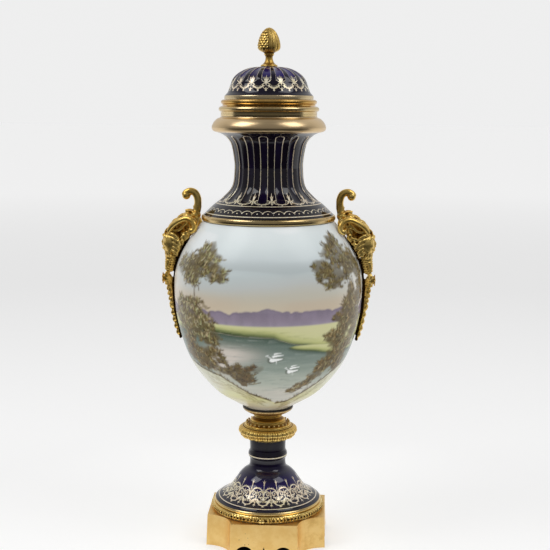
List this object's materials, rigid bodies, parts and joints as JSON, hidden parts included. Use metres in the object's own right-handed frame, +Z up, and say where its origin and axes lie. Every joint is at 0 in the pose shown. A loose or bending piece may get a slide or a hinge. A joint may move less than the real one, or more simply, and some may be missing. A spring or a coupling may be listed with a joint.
{
  "type": "mantel urn",
  "caption": "Tall covered porcelain mantel urn with a painted landscape, cobalt glaze, gilt bronze mounts, mask handles and a square scooped plinth.",
  "frame": {"origin": "on the ground under the middle of the plinth", "axes": "+Z up along the urn's axis, -Y towards the painted front, handles on +X and -X"},
  "size_m": [0.2274, 0.1986, 0.5448],
  "materials": {
    "cobalt_porcelain": "glossy cobalt glaze with gilt lines and arabesques",
    "painted_porcelain": "glossy glaze over a hand painted river landscape",
    "gilt_bronze": "cast and gilt, bright on high parts and brown in the recesses",
    "ring_bronze": "turned and polished",
    "plinth_bronze": "satin gilt with small pits"
  },
  "bodies": {
    "root": {"plinth": "plinth_bronze", "foot_ring": "gilt_bronze", "foot": "cobalt_porcelain", "stem_mount": "gilt_bronze", "body": "painted_porcelain", "shoulder_ring": "ring_bronze", "neck": "cobalt_porcelain", "collar": "ring_bronze", "lid_ring": "ring_bronze", "lid": "cobalt_porcelain", "finial": "gilt_bronze", "handle_right": "gilt_bronze", "handle_left": "gilt_bronze"}
  },
  "joints": []
}
